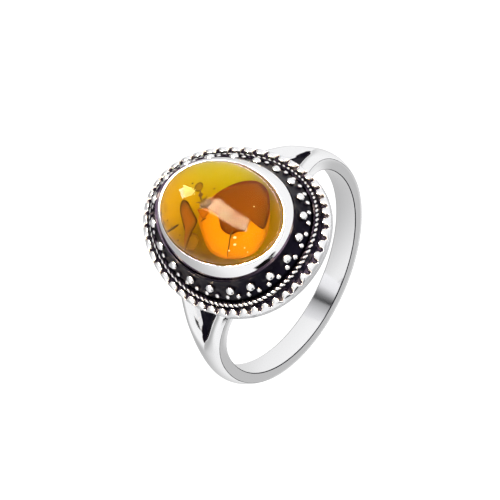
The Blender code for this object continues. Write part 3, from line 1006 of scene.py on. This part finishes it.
def foil_material():
    material, tree, shader = new_material("seat_foil")
    noise = noise_in(tree, 420.0, 4.0)
    # lit is the share towards +Y where the foil gets its painted light and glow.
    lit = remap(tree, attribute(tree, "along"), 0.4, 2.6)
    wave = math_node(tree, "MULTIPLY_ADD", noise, 2.4, attribute(tree, "across"))
    floor = ramp_node(tree, remap(tree, wave, -2.45, 3.95), FLOOR_STOPS)
    floor = mix_colours(tree, lit, floor, PAINTED_LIT_FLOOR)
    high = remap(tree, attribute(tree, "depth"), 0.0, 0.4)
    tint = mix_colours(tree, high, floor, ramp_node(tree, lit, WALL_PAINTED_LIGHT_STOPS))
    tree.links.new(tint, shader.inputs["Base Color"])
    tree.links.new(mix_colours(tree, lit, (0, 0, 0, 1), PAINTED_GLOW), shader.inputs["Emission Color"])
    shader.inputs["Emission Strength"].default_value = 0.30
    tree.links.new(remap(tree, noise, 0, 1, 0.35, 0.6), shader.inputs["Roughness"])
    return material


finish_piece(make_seat(), foil_material(), "bezel_silver")

# %% [markdown]
# ## Sealed in the amber: sheets
#
# A leaf scale, resin flow sheets and a large disc-shaped stress crack, a sun spangle, lie about level
# with the stone's widest part. Each is a thin flat sheet, cut to its outline and thinner at its rim.
# The outlines are the places seen in the photo, brought through the dome's refraction.

# %% Sheets from outlines


def smooth_outline(outline, steps):
    """A closed curve through the outline's points."""
    corners = [np.array(point, float) for point in outline]
    found = []
    for i in range(len(corners)):
        near = [corners[(i + k) % len(corners)] for k in (-1, 0, 1, 2)]
        found += [between(*near, step / steps) for step in range(steps)]
    return np.array(found)


def make_sheet(name, outline, height, thickness, steps=4, rings=7):
    """A thin closed sheet; its edge value is 1 at the rim and 0 inside."""
    edge = smooth_outline(outline, steps)
    centre = edge.mean(0)
    count = len(edge)
    points, edges = [], []
    for side in (1, -1):
        for ring in range(1, rings + 1):
            share = ring / rings
            body = thickness / 2 * math.sqrt(max(0.0, 1 - share**4)) + 0.004
            for x, y in centre + (edge - centre) * share:
                points.append((x, y, height + side * body))
                edges.append(share**3)
        points.append((*centre, height + side * (thickness / 2 + 0.004)))
        edges.append(0.0)
    faces = []
    level = count * rings + 1
    for base in (0, level):
        for ring in range(rings - 1):
            faces += ring_faces(base + ring * count, base + (ring + 1) * count, count)
        faces += cap_faces(base, count, base + count * rings)
    last = (rings - 1) * count
    faces += ring_faces(last, level + last, count)
    return mesh_object(name, points, faces, {"edge": edges})


def resin_material(name, inner, outer, alpha, scale=1200.0):
    """A tinted film: one colour inside, one at the rim, streaked by noise, partly see-through."""
    material, tree, shader = new_material(name)
    noise = noise_in(tree, scale, 5.0)
    mixed = math_node(tree, "MULTIPLY_ADD", noise, 0.45, attribute(tree, "edge"))
    tint = mix_colours(tree, remap(tree, mixed, 0.2, 1.15), (*inner, 1), (*outer, 1))
    tree.links.new(tint, shader.inputs["Base Color"])
    shader.inputs["Roughness"].default_value = 0.5
    shader.inputs["Alpha"].default_value = alpha
    relief = bump_node(tree, noise, 0.3, 0.00005)
    tree.links.new(relief.outputs["Normal"], shader.inputs["Normal"])
    return material


def round_outline(centre, radius, squash=1.0):
    turns = np.linspace(0, math.tau, 13)[:-1]
    return [
        (centre[0] + radius * math.cos(turn), centre[1] + radius * squash * math.sin(turn)) for turn in turns
    ]


print("sheet helpers ready")

# %% The outlines and the sheets
LEAF = (
    (0.29, -2.75), (0.30, -2.38), (0.48, -2.06), (0.72, -1.68), (0.97, -1.26), (1.20, -0.97), (1.62, -0.92),
    (2.09, -0.99), (2.50, -0.96), (3.44, -1.05), (2.93, -1.14), (2.42, -1.24), (2.10, -1.58), (1.82, -1.88),
    (1.58, -2.14), (1.28, -2.42), (0.94, -2.69), (0.63, -2.83), (0.42, -2.84),
)
leaf_look = resin_material("leaf", (0.17, 0.029, 0.001), (0.04, 0.007, 0.001), 1.0)
finish_piece(make_sheet("leaf_scale", LEAF, 11.90, 0.14), leaf_look, "leaf", "leaf_flake")

SPANGLE_DISC = (
    (0.73, -1.06), (1.23, -0.84), (1.68, -0.37), (2.26, 0.26), (2.70, 0.97), (2.81, 1.83), (2.68, 2.62),
    (2.32, 3.47), (1.83, 4.03), (1.23, 4.30), (0.41, 4.37), (-0.31, 4.23), (-1.08, 3.85), (-1.88, 3.31),
    (-2.74, 2.50), (-2.93, 1.60), (-2.55, 0.76), (-1.96, 0.07), (-1.01, -0.63), (-0.19, -0.97),
)
SPANGLE_DARK_REFLECTION = (
    (0.18, -0.86), (-0.13, -0.77), (-1.00, -0.59), (-1.96, 0.11), (-2.57, 0.80), (-2.96, 1.66), (-2.77, 2.56),
    (-2.28, 3.12), (-1.45, 3.66), (-0.58, 3.93), (-0.16, 3.94), (-0.13, 3.56), (-0.21, 3.13), (-0.27, 2.73),
    (0.48, 2.77), (0.75, 2.32), (1.06, 2.02), (1.17, 1.69), (1.05, 1.09), (0.65, 0.66), (0.33, 0.31),
    (0.22, -0.30),
)
SMALL_FLAKE = ((0.51, -1.37), (0.78, -0.95), (0.92, -0.63), (0.63, -0.48), (0.35, -0.45), (0.42, -0.95))
BROWN_ROUND = round_outline((2.58, -0.79), 0.60)
OLIVE_ROUND = round_outline((-0.87, -2.16), 0.34, 0.95)
# Each row: piece, outline, height, thickness and steps.
FILMS = (
    ("spangle_lower", SPANGLE_DISC, 11.88, 0.02, 4),
    ("spangle_upper", SPANGLE_DARK_REFLECTION, 11.98, 0.02, 4),
    ("spangle_flake", SMALL_FLAKE, 11.94, 0.03, 4),
    ("resin_spot", BROWN_ROUND, 11.85, 0.03, 3),
    ("olive_spot", OLIVE_ROUND, 11.90, 0.03, 3),
)
# Each row: material, inner colour, rim colour and alpha.
# The two spangle sheets are painted reflection: the crack mirrors, so its lower sheet is painted bright
# orange and its upper sheet dark.
FILM_LOOKS = (
    ("spangle_painted_reflection", (0.94, 0.36, 0.001), (0.56, 0.20, 0.001), 0.75),
    ("spangle_painted_dark_reflection", (0.17, 0.017, 0.001), (0.13, 0.012, 0.001), 0.8),
    ("spangle_flake", (0.42, 0.11, 0.004), (0.25, 0.05, 0.002), 0.8),
    ("resin_spot", (0.30, 0.13, 0.003), (0.20, 0.08, 0.002), 0.4),
    ("olive_spot", (0.26, 0.15, 0.004), (0.12, 0.06, 0.002), 0.75),
)
for film, look in zip(FILMS, FILM_LOOKS):
    finish_piece(make_sheet(*film), resin_material(*look), "amber")

# %% [markdown]
# ## Sealed in the amber: the twig and the bristly fragment
#
# A twig splinter lies by the edge, and near the middle is a dull grey-violet blob with bristles, a small
# head on a neck and broken legs: the remains of an insect. Limbs are tapered tubes, swept along bent
# lines and closed at both ends.

# %% Tubes and blobs


def tube_points(path, radii, sides):
    """Rings of points round a bent line, with the radius given at each of its points."""
    path = [np.array(point, float) for point in path]
    rings = []
    for i, (place, radius) in enumerate(zip(path, radii)):
        ahead = path[min(i + 1, len(path) - 1)] - path[max(i - 1, 0)]
        ahead /= np.linalg.norm(ahead)
        side = np.cross(ahead, (0.13, 0.09, 1.0))
        side /= np.linalg.norm(side)
        rise = np.cross(side, ahead)
        for k in range(sides):
            turn = math.tau * k / sides
            rings.append(place + radius * (side * math.cos(turn) + rise * math.sin(turn)))
    return rings


def add_tube(points, faces, path, radii, sides=8):
    start = len(points)
    points += [tuple(point) for point in tube_points(path, radii, sides)]
    for i in range(len(path) - 1):
        faces += ring_faces(start + i * sides, start + (i + 1) * sides, sides)
    for end in (start, start + (len(path) - 1) * sides):
        faces.append([end + k for k in range(sides)])


def bent_path(start, end, height, bow, steps=8):
    """A line from start to end at this height, bowed sideways and a little up."""
    start, end = np.array(start, float), np.array(end, float)
    side = np.array((-(end - start)[1], (end - start)[0]))
    path = []
    for i in range(steps + 1):
        share = i / steps
        x, y = start + (end - start) * share + side * bow * math.sin(math.pi * share)
        path.append((x, y, height + 0.04 * math.sin(math.pi * share)))
    return path


def finish_debris(name, points, faces, edge, look, slot, *nodes):
    """A piece with one edge value all over, in the resin look of these values."""
    piece = mesh_object(name, points, faces, {"edge": [edge] * len(points)})
    finish_piece(piece, resin_material(*look), slot, *nodes)


points, faces = [], []
twig_path = bent_path((2.69, -3.06), (1.90, -2.25), STONE_PARTING, -0.03, 12)
twig_radii = [0.055 + 0.030 * math.sin(3.1 * i / 12) + 0.008 * math.sin(i * 2.7) for i in range(13)]
twig_radii[0] = twig_radii[-1] = 0.03
add_tube(points, faces, twig_path, twig_radii, 10)
stub = bent_path((2.36, -2.70), (2.12, -2.80), STONE_PARTING, 0.0, 4)
add_tube(points, faces, stub, [0.03, 0.028, 0.022, 0.016, 0.008], 8)
TWIG_LOOK = ("twig", (0.05, 0.015, 0.002), (0.02, 0.006, 0.001), 1.0, 4000)
finish_debris("twig_splinter", points, faces, 0.4, TWIG_LOOK, "twig", "twig")

# %% The insect's remains


def add_blob(points, faces, centre, sizes, turn, bumps=0.0, rows=14, sides=20):
    """A closed lumpy ball, turned about the head's axis."""
    start = len(points)
    c, s = math.cos(turn), math.sin(turn)
    for i in range(1, rows):
        lean = math.pi * i / rows
        for k in range(sides):
            way = math.tau * k / sides
            lump = 1 + bumps * math.sin(3 * way + 5 * lean) * math.sin(4 * lean + way)
            x = sizes[0] * math.sin(lean) * math.cos(way) * lump
            y = sizes[1] * math.sin(lean) * math.sin(way) * lump
            z = sizes[2] * math.cos(lean) * lump
            points.append((centre[0] + c * x - s * y, centre[1] + s * x + c * y, centre[2] + z))
    for i in range(rows - 2):
        faces += ring_faces(start + i * sides, start + (i + 1) * sides, sides)
    for row, sign in ((0, 1), (rows - 2, -1)):
        points.append((centre[0], centre[1], centre[2] + sign * sizes[2]))
        faces += cap_faces(start + row * sides, sides, len(points) - 1)


BODY = (-0.06, -0.98, STONE_PARTING)
HEAD = (-0.44, -1.70, STONE_PARTING)
BRISTLES = 26
LEGS = (
    ((-0.20, -1.30), (-0.62, -1.22)),
    ((-0.25, -0.70), (-0.62, -0.42)),
    ((0.08, -1.28), (0.16, -1.72)),
    ((0.18, -1.10), (0.42, -1.34)),
    ((-0.50, -1.80), (-0.74, -2.00)),
)


def make_insect():
    points, faces = [], []
    add_blob(points, faces, BODY, (0.30, 0.46, 0.22), math.radians(25), 0.10)
    add_blob(points, faces, HEAD, (0.15, 0.17, 0.15), 0.4, 0.06, 10, 14)
    neck = bent_path((-0.08, -1.25), HEAD[:2], STONE_PARTING, 0.1, 5)
    add_tube(points, faces, neck, [0.10, 0.08, 0.06, 0.06, 0.07, 0.08])
    for i, (start, end) in enumerate(LEGS):
        radii = [0.06, 0.055, 0.05, 0.055, 0.045, 0.035, 0.03, 0.022, 0.012]
        leg = bent_path(start, end, STONE_PARTING, 0.18 if i % 2 else -0.15)
        add_tube(points, faces, leg, radii, 6)
    spread = np.random.default_rng(11)
    for _ in range(BRISTLES):
        way = spread.uniform(0, math.tau)
        x, y = BODY[0] + 0.27 * math.cos(way), BODY[1] + 0.40 * math.sin(way)
        reach = spread.uniform(0.10, 0.24)
        end = (x + reach * math.cos(way + spread.uniform(-0.4, 0.4)), y + reach * math.sin(way))
        height = STONE_PARTING + spread.uniform(0, 0.12)
        path = bent_path((x, y), end, height, spread.uniform(-0.2, 0.2), 3)
        add_tube(points, faces, path, [0.018, 0.014, 0.010, 0.004], 5)
    return points, faces


INSECT_LOOK = ("insect", (0.16, 0.10, 0.11), (0.05, 0.03, 0.03), 1.0, 3500)
finish_debris("insect_remains", *make_insect(), 0.3, INSECT_LOOK, "insect", "insect_fragment")

# %% A painted shadow under the bezel's lip: a thin dark tube round the stone, thickest where the lip shades it
LIP_SHADOW_STATIONS = 192
LIP_SHADOW_SIDES = 6
LIP_SHADOW_HEIGHT = 11.955
LIP_SHADOW_THICKEST = math.radians(145)
lip_shadow_turns = np.linspace(0, math.tau, LIP_SHADOW_STATIONS, endpoint=False)
points, faces = [], []
for turn in lip_shadow_turns:
    shaded = max(0.0, math.cos(turn - LIP_SHADOW_THICKEST))
    size = 0.012 + 0.045 * shaded
    for k in range(LIP_SHADOW_SIDES):
        lean = math.tau * k / LIP_SHADOW_SIDES
        reach = size * math.cos(lean)
        x, y = (STONE_HALF[0] + reach) * math.cos(turn), (STONE_HALF[1] + reach) * math.sin(turn)
        points.append((x, y, LIP_SHADOW_HEIGHT + size * math.sin(lean)))
# Painted shadow: the tube's dark brown stands in for the bezel lip's shadow on the stone.
LIP_SHADOW_LOOK = ("painted_lip_shadow_tone", (0.10, 0.035, 0.004), (0.04, 0.012, 0.002), 1.0, 3000)
finish_debris("painted_lip_shadow", points, grid_faces(LIP_SHADOW_STATIONS, LIP_SHADOW_SIDES), 0.5, LIP_SHADOW_LOOK, "twig")

# %% [markdown]
# ## Flaws
#
# A thin crack, dark specks, and white blobs as painted glints where the spangle catches the light.

# %% Crack, specks and painted glints
points, faces = [], []
crack = [(0.89, 2.06), (1.13, 2.02), (1.54, 2.13), (1.94, 2.29), (2.38, 2.39), (2.75, 2.54)]
crack = [(x, y, 12.2) for x, y in crack]
add_tube(points, faces, crack, [0.05, 0.065, 0.045, 0.045, 0.035, 0.02], 6)
dark_line = [(1.16, -0.70, 11.92), (0.96, -0.58, 11.94), (0.77, -0.40, 11.92)]
add_tube(points, faces, dark_line, [0.02, 0.045, 0.02], 6)
SPECKS = (
    (2.92, -1.85, 0.06), (-0.92, -2.77, 0.06), (-1.19, -0.99, 0.05), (1.94, -3.32, 0.05), (2.52, -1.83, 0.04),
)
for x, y, size in SPECKS:
    add_blob(points, faces, (x, y, 11.92), (size, size * 1.3, size), 0.7, 0.1, 6, 8)
FLAW_LOOK = ("flaws", (0.05, 0.014, 0.002), (0.03, 0.008, 0.001), 1.0, 3000)
finish_debris("crack_and_specks", points, faces, 0.5, FLAW_LOOK, "twig")

points, faces = [], []
PAINTED_GLINTS = (
    (1.51, 3.01, 0.10), (1.95, 3.17, 0.09), (2.51, 2.87, 0.06),
    (1.82, 3.87, 0.04), (1.97, 4.11, 0.035), (-1.22, 3.18, 0.04),
)
GLINT_DEPTH = 0.35
for x, y, size in PAINTED_GLINTS:
    place = (x, y, dome_height(x, y) - GLINT_DEPTH)
    add_blob(points, faces, place, (size, size * 1.3, size * 0.6), 0.3, 0.08, 8, 12)
GLINT_LOOK = ("painted_glints", (1, 0.97, 0.85), (1, 0.93, 0.7), 1.0, 5000)
finish_debris("painted_glints", points, faces, 0.0, GLINT_LOOK, "amber")

# %% [markdown]
# ## Floor and light
#
# The photo is a high-key product picture on pure white. The floor is a plain white light table, and the
# surroundings are white above and grade to grey below, which is what the silver mirrors: the floor
# itself isn't mirrored. Two dark cards give the polished silver its black reflections, a graded card in
# the finger hole gives the band its soft dark stripe, and softboxes make the pale patches on the dome.
# The cards and softboxes are seen in reflections alone.

# %% The stage


def stage_card(name, corners, colour, strength, base=0.0, faces=((0, 1, 2, 3),)):
    """A stage card in world metres, with four corners if no faces are given; it glows by its strength."""
    data = bpy.data.meshes.new(name)
    data.from_pydata([tuple(corner) for corner in corners], [], faces)
    made = placed(name, data)
    material, _, shader = new_material(name)
    shader.inputs["Base Color"].default_value = (base, base, base, 1)
    shader.inputs["Roughness"].default_value = 0.9
    shader.inputs["Specular IOR Level"].default_value = 0.0
    shader.inputs["Emission Color"].default_value = (*colour, 1)
    shader.inputs["Emission Strength"].default_value = strength
    data.materials.append(material)
    return made


def mirror_only(card):
    """Hides the card from all but reflections."""
    for ray in ("camera", "diffuse", "transmission", "shadow"):
        setattr(card, f"visible_{ray}", False)


FLOOR_HALF = 1.5
corners = [(FLOOR_HALF * x, FLOOR_HALF * y, 0) for x, y in ((-1, -1), (1, -1), (1, 1), (-1, 1))]
floor = stage_card("floor", corners, (1, 1, 1), 1.0, 0.2)
floor.visible_glossy = False
print("floor laid")

# %% The surroundings
# The world is grey below and white above, with one greyer zone ahead.
world = bpy.data.worlds.new("white surroundings")
world.use_nodes = True
tree = world.node_tree
way = add(tree, "ShaderNodeTexCoord").outputs["Generated"]
AHEAD = (0.0, 0.95, 0.31)
SLANT = (-0.2, 0.15, 0.9)
SKY_STOPS = ((0.0, 0.42), (0.20, 0.50), (0.38, 0.72), (0.55, 0.92), (0.75, 1.0), (1.0, 1.0))
ahead, slant = (
    add(tree, "ShaderNodeVectorMath", {0: way, 1: aim}, operation="DOT_PRODUCT").outputs["Value"]
    for aim in (AHEAD, SLANT)
)
grey = remap(tree, ahead, 0.70, 0.93, 1.0, 0.56, interpolation_type="SMOOTHSTEP")
levels = ramp_node(tree, remap(tree, slant, -1.0, 0.2), [(place, (tone,) * 3) for place, tone in SKY_STOPS])
both = math_node(tree, "MULTIPLY", levels, grey)
tree.nodes["Background"].inputs["Color"].default_value = (1, 1, 1, 1)
tree.links.new(both, tree.nodes["Background"].inputs["Strength"])
bpy.context.scene.world = world
print("surroundings:", world.name)

# %% The cards that the silver mirrors
CARD_BLACK = 0.003


def dark_card(name, azimuth, elevation, half_angle_across, half_angle_up, distance=0.4):
    """A black card that faces the ring from this direction; azimuth counts from -Y towards +X."""
    az, el = math.radians(azimuth), math.radians(elevation)
    way = Vector((math.sin(az) * math.cos(el), -math.cos(az) * math.cos(el), math.sin(el)))
    side = way.cross(Vector((0, 0, 1))).normalized()
    rise = side.cross(way)
    across, up = math.tan(math.radians(half_angle_across)), math.tan(math.radians(half_angle_up))
    corners = []
    for a, b in ((-1, -1), (1, -1), (1, 1), (-1, 1)):
        corners.append((way + side * across * a + rise * up * b) * distance + Vector((0, 0, 0.006)))
    mirror_only(stage_card(name, corners, (0, 0, 0), 0.0, CARD_BLACK))


dark_card("card_right", 129, 32, 14, 15)
dark_card("card_above", 124, 56, 7, 8)
print("dark cards placed")

# %% The graded card in the finger hole
STRIPE_X = (-0.005, 0.0025)
STRIPE_Y = -0.004
STRIPE_Z = (-0.008, 0.006)
STRIPE_STOPS = (
    (0.0, 0.85), (0.20, 0.68), (0.44, 0.34), (0.455, 0.015), (0.50, 0.05),
    (0.58, 0.22), (0.66, 0.52), (0.76, 0.88), (1.0, 1.0),
)


def stripe_card():
    """A graded card in the finger hole: the band's inner side mirrors it as a soft dark stripe."""
    (left, right), (under, over) = STRIPE_X, STRIPE_Z
    corners = [(x, STRIPE_Y, z) for x, z in ((left, under), (right, under), (right, over), (left, over))]
    card = stage_card("card_stripe", corners, (1, 1, 1), 1.0, CARD_BLACK)
    tree = card.data.materials[0].node_tree
    place = add(tree, "ShaderNodeTexCoord").outputs["Object"]
    axes = add(tree, "ShaderNodeSeparateXYZ", {"Vector": place})
    stops = [(place, (tone, tone, tone * 1.02)) for place, tone in STRIPE_STOPS]
    tones = ramp_node(tree, remap(tree, axes.outputs["X"], *STRIPE_X), stops)
    tree.links.new(tones, tree.nodes["Principled BSDF"].inputs["Emission Color"])
    mirror_only(card)


stripe_card()
print("graded card placed")

# %% The softboxes that show on the dome
PATCH_STEPS = 12


def struck(across, down):
    """(place, way): where the view ray of this picture point strikes the dome, and where it goes."""
    ray = VIEW_RIGHT * (across - 250) - VIEW_UP * (down - 250) - VIEW_BACK * FOCAL_PIXELS
    ray.normalize()
    half = Vector((STONE_HALF[0], STONE_HALF[1], STONE_TOP - STONE_PARTING))
    start = eye - Vector((0, 0, STONE_PARTING))
    near = Vector(a / b for a, b in zip(start, half))
    step = Vector(a / b for a, b in zip(ray, half))
    a, b, c = step.dot(step), 2 * near.dot(step), near.dot(near) - 1
    reach = (-b - math.sqrt(b * b - 4 * a * c)) / (2 * a)
    place = start + ray * reach
    normal = Vector(a / b**2 for a, b in zip(place, half)).normalized()
    way = ray - 2 * ray.dot(normal) * normal
    return pose @ (place + Vector((0, 0, STONE_PARTING))), (pose.to_3x3() @ way).normalized()


def softbox(name, patch, distance, colour, strength):
    """A glowing sheet whose mirror image fills this four-cornered patch of the picture, on the dome."""
    corners = [np.array(corner, float) for corner in patch]
    points = []
    for i in range(PATCH_STEPS + 1):
        for j in range(PATCH_STEPS + 1):
            s, t = i / PATCH_STEPS, j / PATCH_STEPS
            near = corners[0] * (1 - s) + corners[3] * s
            far = corners[1] * (1 - s) + corners[2] * s
            place, way = struck(*(near * (1 - t) + far * t))
            reach = distance if way.z > -0.01 else min(distance, (place.z - 0.0003) / -way.z)
            points.append(tuple(place + way * reach))
    faces = grid_faces(PATCH_STEPS + 1, PATCH_STEPS + 1, False, False)
    mirror_only(stage_card(name, points, colour, strength, faces=faces))


# The four picture points of each patch.
PATCHES = (
    ((198.0, 206.7), (210.1, 196.3), (214.5, 198.8), (206.4, 211.2)),
    ((206.4, 211.2), (214.5, 198.8), (250.1, 218.7), (245.4, 233.0)),
    ((184.6, 198.5), (183.2, 184.6), (195.6, 189.2), (193.8, 194.8)),
    ((182.6, 199.2), (178.6, 189.8), (183.6, 187.6), (187.8, 193.5)),
    ((212.4, 206.2), (213.6, 206.8), (221.9, 198.8), (220.8, 197.9)),
)
# Each row: name, distance in metres, colour and strength.
SOFTBOXES = (
    ("softbox_dim", 0.012, (0.90, 0.80, 1.0), 24.0),
    ("softbox_long", 0.012, (1.0, 0.74, 0.48), 170.0),
    ("softbox_small", 0.008, (0.85, 0.95, 0.42), 42.0),
    ("softbox_pink", 0.008, (1.0, 0.74, 0.66), 45.0),
    ("softbox_streak", 0.012, (1.0, 0.74, 0.62), 180.0),
)
for patch, (name, *light) in zip(PATCHES, SOFTBOXES):
    softbox(name, patch, *light)
print("softboxes placed")
